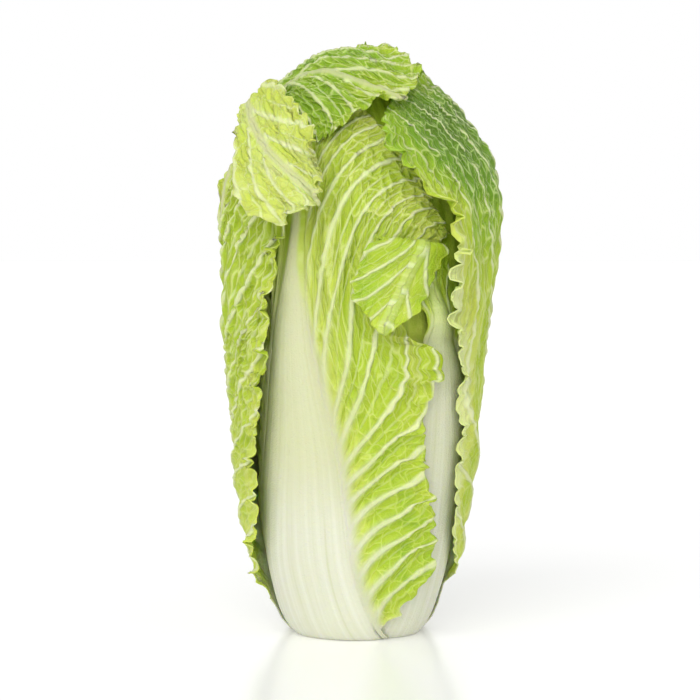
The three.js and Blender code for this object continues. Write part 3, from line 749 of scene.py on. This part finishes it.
def leaf_flesh():
    made, nodes, links, shader = new_material("leaf flesh")

    def attribute(name, output="Fac"):
        node = nodes.new("ShaderNodeAttribute")
        node.attribute_name = name
        return node.outputs[output]

    def sums(operation, a, b, clamp=False):
        node = nodes.new("ShaderNodeMath")
        node.operation = operation
        node.use_clamp = clamp
        for slot, value in enumerate((a, b)):
            if isinstance(value, (int, float)):
                node.inputs[slot].default_value = value
            else:
                links.new(value, node.inputs[slot])
        return node.outputs["Value"]

    def mixed(factor, a, b):
        node = nodes.new("ShaderNodeMix")
        node.data_type = "RGBA"
        links.new(factor, node.inputs["Factor"])
        for slot, value in (("A", a), ("B", b)):
            target = [s for s in node.inputs if s.name == slot and s.type == "RGBA"][0]
            if isinstance(value, tuple):
                target.default_value = (*value, 1)
            else:
                links.new(value, target)
        return [s for s in node.outputs if s.type == "RGBA"][0]

    blade = attribute("blade")
    green = attribute("green")
    net = nodes.new("ShaderNodeUVMap")
    net.uv_map = "net"
    grain = nodes.new("ShaderNodeUVMap")
    grain.uv_map = "grain"

    veins = nodes.new("ShaderNodeGroup")
    veins.node_tree = small_veins
    veins.inputs["Cells per millimetre"].default_value = CELLS_PER_MM
    links.new(net.outputs["UV"], veins.inputs["Net"])

    ways = nodes.new("ShaderNodeSeparateXYZ")
    links.new(attribute("side veins", "Vector"), ways.inputs["Vector"])
    branches = nodes.new("ShaderNodeGroup")
    branches.node_tree = side_veins
    links.new(ways.outputs["X"], branches.inputs["Turn"])
    links.new(ways.outputs["Y"], branches.inputs["Spacing"])
    links.new(ways.outputs["Z"], branches.inputs["Beyond the stalk"])
    netted = attribute("netted")
    forks = sums("MULTIPLY", branches.outputs["Forks"], netted)
    ridge = sums("MAXIMUM", branches.outputs["Main veins"], forks)

    # Flesh is greener away from the stalk, in patches.
    patches = nodes.new("ShaderNodeTexNoise")
    patches.inputs["Scale"].default_value = 0.09
    patches.inputs["Detail"].default_value = 4
    links.new(net.outputs["UV"], patches.inputs["Vector"])
    uneven = sums("MULTIPLY", sums("SUBTRACT", patches.outputs["Fac"], 0.5), 0.42)
    middles = sums("MULTIPLY", sums("SUBTRACT", 0.7, veins.outputs["Veins"]), sums("MULTIPLY", green, 0.3))
    depth = sums("ADD", sums("ADD", green, middles), sums("MULTIPLY", uneven, blade), clamp=True)
    flesh = colour_at(nodes, links, depth, [
        (0.0, 0.71, 0.82, 0.30),
        (0.2, 0.585, 0.70, 0.095),
        (0.4, 0.43, 0.585, 0.028),
        (0.6, 0.29, 0.48, 0.016),
        (0.8, 0.16, 0.33, 0.010),
        (1.0, 0.10, 0.21, 0.006),
    ])
    net_lines = sums("MULTIPLY", sums("MULTIPLY", veins.outputs["Veins"], 0.42), netted)
    line = sums("MULTIPLY", sums("MAXIMUM", ridge, net_lines), blade)
    veined = mixed(sums("MULTIPLY", line, 0.85, clamp=True), flesh, (0.79, 0.89, 0.46))

    # The stalk is white, with fine ribs that run up it.
    long_ribs = nodes.new("ShaderNodeMapping")
    long_ribs.inputs["Scale"].default_value = (0.3, 0.006, 1)
    links.new(grain.outputs["UV"], long_ribs.inputs["Vector"])
    ribs = nodes.new("ShaderNodeTexNoise")
    ribs.inputs["Scale"].default_value = 1.0
    ribs.inputs["Detail"].default_value = 3
    links.new(long_ribs.outputs["Vector"], ribs.inputs["Vector"])
    stalk = colour_at(nodes, links, ribs.outputs["Fac"], [
        (0.30, 0.64, 0.66, 0.46),
        (0.46, 0.71, 0.72, 0.57),
        (0.66, 0.76, 0.77, 0.64),
    ])
    tinted = mixed(attribute("tint"), stalk, (0.61, 0.63, 0.33))
    links.new(mixed(blade, tinted, veined), shader.inputs["Base Color"])

    net_height = sums("MULTIPLY", veins.outputs["Height"], netted)
    raised = sums("MULTIPLY", sums("MAXIMUM", net_height, sums("MULTIPLY", ridge, 1.2)), blade)
    stripes = sums("MULTIPLY", ribs.outputs["Fac"], sums("SUBTRACT", 0.6, sums("MULTIPLY", blade, 0.6)))
    pores = nodes.new("ShaderNodeTexNoise")
    pores.inputs["Scale"].default_value = 1300
    pores.inputs["Detail"].default_value = 3
    links.new(nodes.new("ShaderNodeTexCoord").outputs["Object"], pores.inputs["Vector"])
    surface = sums("ADD", sums("ADD", raised, stripes), sums("MULTIPLY", pores.outputs["Fac"], 0.5))
    bump = nodes.new("ShaderNodeBump")
    bump.inputs["Strength"].default_value = 0.8
    bump.inputs["Distance"].default_value = 0.0011
    links.new(surface, bump.inputs["Height"])
    links.new(bump.outputs["Normal"], shader.inputs["Normal"])
    rough = nodes.new("ShaderNodeMapRange")
    rough.inputs["To Min"].default_value = 0.42
    rough.inputs["To Max"].default_value = 0.6
    links.new(pores.outputs["Fac"], rough.inputs["Value"])
    links.new(rough.outputs["Result"], shader.inputs["Roughness"])
    shader.inputs["Specular IOR Level"].default_value = 0.3
    shader.inputs["Subsurface Weight"].default_value = 0.4
    shader.inputs["Subsurface Radius"].default_value = (0.7, 1.0, 0.2)
    shader.inputs["Subsurface Scale"].default_value = 0.003
    return made


flesh_material = leaf_flesh()
blister = blister_tree()


def grid_normals(points):
    """Normals of a grid of points, from the steps along its rows and columns."""
    over = np.gradient(points, axis=1)
    up = np.gradient(points, axis=0)
    normal = np.cross(over, up)
    return normal / np.maximum(np.linalg.norm(normal, axis=-1, keepdims=True), 1e-9)


def sheet_faces(rows, columns):
    a = (np.arange(rows - 1)[:, None] * columns + np.arange(columns - 1)[None, :]).ravel()
    return np.stack([a, a + 1, a + columns + 1, a + columns], axis=1)


def blistered(name, points, flat, crumple):
    """Runs the Geometry Nodes on the leaf's middle surface, and gives the moved points."""
    rows, columns = points.shape[:2]
    sheet = mesh_piece(name, points.reshape(-1, 3), sheet_faces(rows, columns), flesh_material)
    store = sheet.data.attributes.new("net", "FLOAT_VECTOR", "POINT")
    store.data.foreach_set("vector", flat["net"].astype(np.float32).ravel())
    store = sheet.data.attributes.new("blade", "FLOAT", "POINT")
    blade = np.broadcast_to(flat["blade"] * flat["netted"], (rows, columns))
    store.data.foreach_set("value", blade.astype(np.float32).ravel())
    modifier = sheet.modifiers.new("blisters", "NODES")
    modifier.node_group = blister
    set_input(modifier, "Cells per millimetre", CELLS_PER_MM)
    set_input(modifier, "Depth", 0.0016 * crumple)
    set_input(modifier, "Crumple", 0.0016 * crumple)
    set_input(modifier, "Flesh", flesh_material)
    graph = bpy.context.evaluated_depsgraph_get()
    result = bpy.data.meshes.new_from_object(sheet.evaluated_get(graph))
    moved = np.empty(len(result.vertices) * 3, dtype=np.float32)
    result.vertices.foreach_get("co", moved)
    bpy.data.meshes.remove(result)
    bpy.data.objects.remove(sheet)
    return moved.reshape(rows, columns, 3) / METRE


def leaf_piece(leaf):
    """Makes a leaf: its sheet with blisters, its two faces and its edge, and its colours."""
    flat, bearing, up, off = lay_leaf(leaf)
    middle = place(bearing, up, off)
    add_to_wrapped(flat, bearing, up, off)
    middle = blistered(leaf["name"] + "_sheet", middle, flat, leaf.get("crumple", 1))
    normal = grid_normals(middle)
    thick = np.broadcast_to(flat["thick"], off.shape)[..., None]
    outer = middle + normal * thick / 2
    inner = middle - normal * thick / 2
    for face in (outer, inner):
        face[..., 2] = np.maximum(face[..., 2], 0)
    rows, columns = middle.shape[:2]
    corners = np.concatenate([outer.reshape(-1, 3), inner.reshape(-1, 3)])
    back = sheet_faces(rows, columns)
    under = rows * columns
    front = back[:, ::-1] + under
    low = np.arange(columns - 1)
    high = low + (rows - 1) * columns
    first = np.arange(rows - 1) * columns
    last = first + columns - 1
    walls = [
        np.stack([low + 1, low, low + under, low + 1 + under], axis=1),
        np.stack([high, high + 1, high + 1 + under, high + under], axis=1),
        np.stack([first, first + columns, first + columns + under, first + under], axis=1),
        np.stack([last + columns, last, last + under, last + columns + under], axis=1),
    ]
    faces = np.concatenate([back, front, *walls])
    piece = mesh_piece(leaf["name"] + "_blade", corners, faces, flesh_material)
    mesh = piece.data
    shape = (rows, columns)
    height = np.broadcast_to(flat["along"], shape) / leaf["length"]
    # The first green is at the foot and the second higher up. Where the first is the larger, the top is painted
    # paler as painted light against shade.
    pale, deep = leaf["green"]
    spread = smooth(np.broadcast_to(flat["beyond"], shape), 0, mix(30, 9, smooth(height, 0.5, 0.75)))
    near_midrib = mix(0.45, 0.85, smooth(height, 0.5, 0.75))
    green = mix(pale, deep, smooth(height, *leaf.get("deepens", (0.1, 0.75)))) * mix(near_midrib, 1, spread)
    green = green + leaf["fringe"] * np.broadcast_to(flat["margin"], shape)
    stalk_tint = 0.65 * smooth(flat["along"], 50, 105) + 0.3 * smooth(flat["along"], 150, 220)
    # A leaf's "pale" share below 1 weakens this tint on its stalk. This is painted light: a stalk that lies in
    # shade is kept as bright as its neighbours.
    stalk_tint = stalk_tint * leaf.get("pale", 1)
    values = {"blade": flat["blade"], "green": np.clip(green, 0, 1), "tint": stalk_tint}
    values["netted"] = flat["netted"]
    for name, value in values.items():
        both = np.tile(np.broadcast_to(value, shape).astype(np.float32).ravel(), 2)
        store = mesh.attributes.new(name, "FLOAT", "POINT")
        store.data.foreach_set("value", both)
    ways = np.tile(flat["side veins"].reshape(-1, 3), (2, 1)).astype(np.float32)
    mesh.attributes.new("side veins", "FLOAT_VECTOR", "POINT").data.foreach_set("vector", ways.ravel())
    index = np.empty(len(mesh.loops), dtype=np.int32)
    mesh.loops.foreach_get("vertex_index", index)
    for name in ("net", "grain"):
        plane = np.broadcast_to(flat[name][..., :2], (*shape, 2)).reshape(-1, 2)
        plane = np.tile(plane, (2, 1)).astype(np.float32)
        mesh.uv_layers.new(name=name).uv.foreach_set("vector", plane[index].ravel())
    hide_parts(leaf["name"])
    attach(piece, "root")
    return piece


def lay_foot(leaf):
    """Keeps room for a stalk whose blade comes out over its neighbours."""
    flat, bearing, up, off = lay_leaf(leaf)
    add_to_wrapped(flat, bearing, up, off, below=leaf["emerges"][0])


# The heart
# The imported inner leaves, folded over each other at the crown. Only their backs and crumpled
# tips show, in the gaps among the loose leaves.

HEART_SIDES = 240
HEART_ROWS = 150
HEART_LEAVES = 5
SOCKET_GAP = 0.5


def heart_piece():
    bearing = (np.arange(HEART_SIDES) / HEART_SIDES * 2 * np.pi)[None, :]
    along = np.linspace(STEM_H, DOME_END - 2, HEART_ROWS)[:, None]
    spiral = HEART_LEAVES * (bearing + along / 90) / (2 * np.pi)
    lap = spiral - np.floor(spiral)
    edge = 2.2 * lap**0.6 * (1 - smooth(lap, 0.93, 1.0))
    frills = 0.8 * np.sin(along / 2.6 + 5 * lap) * smooth(lap, 0.5, 0.9) * (1 - smooth(lap, 0.93, 1))
    ribs = 0.5 * np.sin(HEART_LEAVES * 9 * bearing + along / 11)
    depth = 3.4 - (edge + frills + ribs) * smooth(along, STEM_H, 60)
    skin = place(bearing + 0 * along, along + 0 * bearing, -np.maximum(depth, 0.6))
    socket_rings = [
        (STEM_CORE_R * 0.35 + SOCKET_GAP, STEM_CORE_H + 1),
        (STEM_CORE_R * 0.75 + SOCKET_GAP, STEM_CORE_H * 0.6),
        (STEM_CORE_R + SOCKET_GAP, STEM_H),
    ]
    rings = []
    for r, z in socket_rings:
        ring = np.stack([r * np.sin(bearing), -r * np.cos(bearing), z + 0 * bearing], axis=-1)
        rings.append(ring)
    grid = np.concatenate([*rings, skin[None].reshape(HEART_ROWS, HEART_SIDES, 3)])
    count = len(grid)
    corners = grid.reshape(-1, 3)
    near = np.arange(HEART_SIDES)
    far = (near + 1) % HEART_SIDES
    faces = []
    for line in range(count - 1):
        low, high = line * HEART_SIDES, (line + 1) * HEART_SIDES
        faces.append(np.stack([low + near, low + far, high + far, high + near], axis=1))
    piece = mesh_piece("heart_leaves", corners, np.concatenate(faces), flesh_material)
    mesh = piece.data
    values = {
        "blade": np.repeat(smooth(np.concatenate([np.zeros(3), along[:, 0]]), 40, 120), HEART_SIDES),
        "green": np.repeat(0.12 + 0.2 * smooth(np.concatenate([np.zeros(3), along[:, 0]]), 120, 260), HEART_SIDES),
    }
    for name, value in values.items():
        store = mesh.attributes.new(name, "FLOAT", "POINT")
        store.data.foreach_set("value", value.astype(np.float32))
    index = np.empty(len(mesh.loops), dtype=np.int32)
    mesh.loops.foreach_get("vertex_index", index)
    ways = np.concatenate([np.zeros(3), along[:, 0]])
    plane = np.stack([
        np.tile(bearing[0] * GIRTH_R, count),
        np.repeat(ways, HEART_SIDES),
    ], axis=1).astype(np.float32)
    for name in ("net", "grain"):
        mesh.uv_layers.new(name=name).uv.foreach_set("vector", plane[index].ravel())
    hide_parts("heart")
    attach(piece, "root")
    return piece


heart_piece()


# The loose outer leaves
# Seven leaves, from the heart outwards. Each has its bearing, its length, the widths of its two
# halves on the way up, and how much its edge frills. A blade that comes out over its neighbours
# has its foot laid first.

BACK_RIGHT = {
    "name": "leaf_back_right",
    "seed": 110,
    "azimuth": 166,
    "length": 308,
    "shoulder": 26,
    "stalk": 1,
    "foot": 26,
    "full": 5.6,
    "frill": [2, 2],
    "low": 0.4,
    "tip": 2,
    "slope": [0.9, 2.2],
    "green": [0.35, 0.62],
    "fringe": 0.05,
    "lean": [[0, 0], [308, -6]],
    "left": [[0, 26], [30, 30], [67, 42], [118, 58], [170, 72], [230, 78], [280, 70], [308, 46]],
    "right": [[0, 26], [30, 30], [67, 42], [118, 56], [170, 66], [230, 70], [280, 66], [308, 46]],
}
BACK_LEFT = {
    "name": "leaf_back_left",
    "seed": 210,
    "azimuth": -116,
    "length": 368,
    "shoulder": 14,
    "slant": -9,
    "stalk": 1.05,
    "foot": 22,
    "full": 4.2,
    "frill": [3, 4],
    "low": 0.4,
    "tip": 2,
    "slope": [0.9, 3],
    "pitch": 1.25,
    "green": [0.32, 0.56],
    "crumple": 1.1,
    "fine": 10,
    "faint": 0.3,
    "fringe": -0.14,
    "lean": [
        [0, -13], [30, -20], [61, -22], [118, -16], [190, -4], [230, 5], [270, 20], [318, 34],
        [368, 34],
    ],
    "left": [
        [0, 20], [30, 27], [67, 40], [118, 46], [170, 50], [230, 50], [300, 52], [342, 42],
        [368, 20],
    ],
    "right": [
        [0, 20], [30, 26], [67, 36], [118, 38], [170, 36], [230, 26], [262, 20], [284, 28],
        [306, 34], [334, 33], [354, 28], [368, 18],
    ],
    "emerges": [256, 278],
}
FRONT_RIGHT = {
    "name": "leaf_front_right",
    "seed": 310,
    "azimuth": 38,
    "length": 250,
    "shoulder": 14,
    "stalk": 1.2,
    "taper": 12,
    "foot": 34,
    "full": 6.4,
    "frill": [1.5, 1],
    "low": 0.3,
    "tip": 1.5,
    "slope": [0.7, 1.2],
    "green": [0.36, 0.36],
    "fine": 30,
    "faint": 0.8,
    # Half the stalk tint is painted light: its stalk lies in shade between its neighbours and is painted paler to
    # make up for it.
    "pale": 0.5,
    "pleats": 0.6,
    "netted": 0.5,
    "crumple": 0.8,
    "fringe": 0.03,
    "lean": [
        [0, 4], [40, 8], [60, 10], [100, 9], [120, 7], [148, 3], [165, -2], [184, -9], [200, -15],
        [250, -27],
    ],
    "left": [
        [0, 34], [60, 33], [120, 24], [142, 10], [165, 10], [182, 18], [200, 22], [225, 24],
        [241, 18], [250, 10],
    ],
    "right": [
        [0, 34], [30, 34], [60, 31], [120, 26], [150, 28], [168, 24], [184, 17], [200, 14],
        [225, 13], [241, 11], [250, 8],
    ],
    "emerges": [150, 168],
    "crease": {"across": -15, "along": 197, "tilt": 6, "radius": 3},
}
LEFT_INNER = {
    "name": "leaf_left_inner",
    "seed": 410,
    "azimuth": -70,
    "length": 330,
    "shoulder": 10,
    "stalk": 0.9,
    "foot": 14,
    "full": 2.6,
    "frill": [1.5, 2.5],
    "low": 0.4,
    "tip": 4,
    "slope": [0.9, 1.6],
    "green": [0.2, 0.16],
    "crumple": 1.4,
    "fine": 8,
    "faint": 0.2,
    "fringe": -0.04,
    "lean": [[0, 4], [230, 2], [246, 0], [262, -5], [285, -14], [300, -19], [330, -27]],
    "left": [
        [0, 12], [30, 20], [67, 32], [118, 36], [170, 34], [214, 29], [230, 22], [242, 14],
        [252, 8], [262, 7], [274, 8], [284, 14], [293, 21], [303, 24], [317, 21], [330, 10],
    ],
    "right": [
        [0, 12], [30, 20], [67, 28], [118, 28], [150, 22], [200, 20], [225, 14], [244, 13],
        [262, 15], [285, 21], [302, 25], [318, 21], [330, 9],
    ],
    "puff": [[0, 0], [195, 0], [212, 2], [226, 3], [246, 1.5], [264, 0], [330, 0]],
    "emerges": [236, 247],
    "crease": {"across": -1, "along": 253, "tilt": -42, "radius": 3},
}
FRONT = {
    "name": "leaf_front",
    "seed": 510,
    "azimuth": -34,
    "length": 276,
    "shoulder": 16,
    "stalk": 1.05,
    "foot": 35,
    "full": 6.4,
    "frill": [1, 5],
    "low": 0.2,
    "tip": 1.5,
    "slope": [0.75, 1.9],
    "pitch": 0.76,
    # Paler towards the top than at the foot. This is painted light against the shade cast there by its own
    # crumples and by the leaves hanging over its top.
    "green": [0.44, 0.28],
    "fringe": -0.06,
    "lean": [[0, -4], [37, -8], [70, -6], [94, -3], [171, -1], [221, 4], [276, 9]],
    "left": [
        [0, 23], [8, 31], [18, 38], [37, 42], [70, 37], [92, 31], [118, 26], [142, 20], [156, 14],
        [180, 13], [230, 15], [276, 10],
    ],
    "right": [
        [0, 34], [6, 36], [16, 49], [37, 71], [67, 73], [92, 69], [118, 70], [144, 82], [156, 64],
        [180, 62], [200, 84], [216, 90], [236, 78], [252, 62], [264, 50], [276, 36],
    ],
    "puff": [[0, 0], [20, 1.5], [45, 2.5], [90, 1], [150, 0], [276, 0]],
}
RIGHT = {
    "name": "leaf_right",
    "seed": 610,
    "azimuth": 118,
    "gathers": 1,
    "length": 282,
    "shoulder": 8,
    "stalk": 1.05,
    "foot": 22,
    "full": 5,
    "frill": [5, 5],
    "low": 0.2,
    "tip": 1.5,
    "slope": [0.9, 2.2],
    "pitch": 1.4,
    "green": [0.3, 0.84],
    "deepens": [0.6, 0.92],
    "crumple": 1,
    "fringe": -0.3,
    "lean": [[0, 10], [18, 8], [40, 1], [92, -4], [118, -6], [150, -8], [282, -8]],
    "left": [
        [0, 14], [18, 18], [28, 32], [40, 48], [67, 61], [118, 70], [150, 85], [180, 94],
        [203, 94], [213, 94], [226, 110], [236, 120], [248, 120], [262, 108], [274, 88], [282, 62],
    ],
    "right": [[0, 22], [30, 27], [67, 38], [118, 46], [170, 50], [230, 50], [260, 46], [282, 34]],
    "puff": [[0, 0], [150, 0], [200, 3], [232, 4], [256, 1], [282, 0]],
}
LEFT = {
    "name": "leaf_left",
    "seed": 710,
    "azimuth": -128,
    "gathers": 1,
    "length": 227,
    "shoulder": 4,
    "slant": 10,
    "stalk": 1,
    "foot": 20,
    "full": 4.4,
    "frill": [0.6, 5],
    "low": 0.5,
    "tip": 1.2,
    "slope": [0.8, 1.5],
    "green": [0.22, 0.34],
    "crumple": 1.5,
    "fringe": -0.08,
    "lean": [[0, 1], [20, 2], [42, 4], [61, 8], [108, 18], [150, 28], [190, 44], [227, 60]],
    "left": [[0, 18], [30, 28], [61, 42], [108, 56], [150, 60], [190, 56], [212, 50], [227, 38]],
    "right": [
        [0, 19], [16, 25], [25, 34], [40, 50], [61, 61], [92, 66], [118, 72], [150, 75], [175, 70],
        [208, 62], [227, 50],
    ],
    "puff": [[0, 0], [30, 0.5], [60, 3], [100, 4.5], [150, 3], [200, 1], [227, 0]],
}

OUTER_LEAVES = (FRONT, FRONT_RIGHT, RIGHT, BACK_LEFT, LEFT, LEFT_INNER)
press_flat((BACK_RIGHT, *OUTER_LEAVES))
leaf_piece(BACK_RIGHT)
for covered in (BACK_LEFT, FRONT_RIGHT, LEFT_INNER):
    lay_foot(covered)
for laid in OUTER_LEAVES:
    leaf_piece(laid)


# The studio
# A white, slightly glossy table in a white room, lit softly from above and from the left, and a
# camera that looks almost level from well back.


def table_top():
    made, nodes, links, shader = new_material("white table")
    shader.inputs["Base Color"].default_value = (0.95, 0.95, 0.945, 1)
    shader.inputs["Emission Color"].default_value = (1, 1, 1, 1)
    shader.inputs["Emission Strength"].default_value = 0.13
    shader.inputs["Roughness"].default_value = 0.22
    shader.inputs["Specular IOR Level"].default_value = 0.35
    reach = 4000.0
    corners = [(-reach, -reach, -0.2), (reach, -reach, -0.2), (reach, reach, -0.2), (-reach, reach, -0.2)]
    top = mesh_piece("table_top", corners, [(0, 1, 2, 3)], made, smooth=False)
    top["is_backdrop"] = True


def point_at(thing, aim):
    from mathutils import Vector
    direction = Vector(aim) - thing.location
    thing.rotation_euler = direction.to_track_quat("-Z", "Y").to_euler()


def sky_light(name, at, strength, softness):
    """A far soft light that shines from a place towards the table."""
    light = bpy.data.lights.new(name, "SUN")
    light.energy = strength
    light.angle = np.radians(softness)
    made = bpy.data.objects.new(name, light)
    made.location = at
    bpy.context.scene.collection.objects.link(made)
    point_at(made, (0, 0, 0.1))


table_top()
sky_light("window", (-0.7, -2.2, 1.7), 1.75, 55)
sky_light("fill", (1.6, -1.4, 1.2), 0.3, 60)

# The room looks white, also in the gloss, and lights the head a little less than it looks.
world = bpy.data.worlds.new("white room")
world.use_nodes = True
room = world.node_tree.nodes
seen = room.new("ShaderNodeLightPath")
either = room.new("ShaderNodeMath")
either.operation = "MAXIMUM"
world.node_tree.links.new(seen.outputs["Is Camera Ray"], either.inputs[0])
world.node_tree.links.new(seen.outputs["Is Glossy Ray"], either.inputs[1])
strength = room.new("ShaderNodeMapRange")
strength.inputs["To Min"].default_value = 0.56
strength.inputs["To Max"].default_value = 1.0
world.node_tree.links.new(either.outputs["Value"], strength.inputs["Value"])
room["Background"].inputs["Color"].default_value = (1, 1, 1, 1)
world.node_tree.links.new(strength.outputs["Result"], room["Background"].inputs["Strength"])
bpy.context.scene.world = world
bpy.context.scene.view_settings.view_transform = "Standard"

VIEW_H = 0.3556  # metres across the photograph at the head
CAMERA_AWAY = 1.4
CAMERA_RISE = np.radians(4.5)
camera_data = bpy.data.cameras.new("camera")
camera_data.sensor_width = 36
camera_data.lens = 18 / np.tan(np.arctan(VIEW_H / 2 / CAMERA_AWAY))
camera_data.clip_end = 50
camera = bpy.data.objects.new("camera", camera_data)
bpy.context.scene.collection.objects.link(camera)
aim = (-0.0064, 0.0, 0.143)
camera.location = (aim[0], -CAMERA_AWAY * np.cos(CAMERA_RISE), aim[2] + CAMERA_AWAY * np.sin(CAMERA_RISE))
point_at(camera, aim)
bpy.context.scene.camera = camera

low, high = [[list(map(float, corner)) for corner in box] for box in (cad_box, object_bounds())]
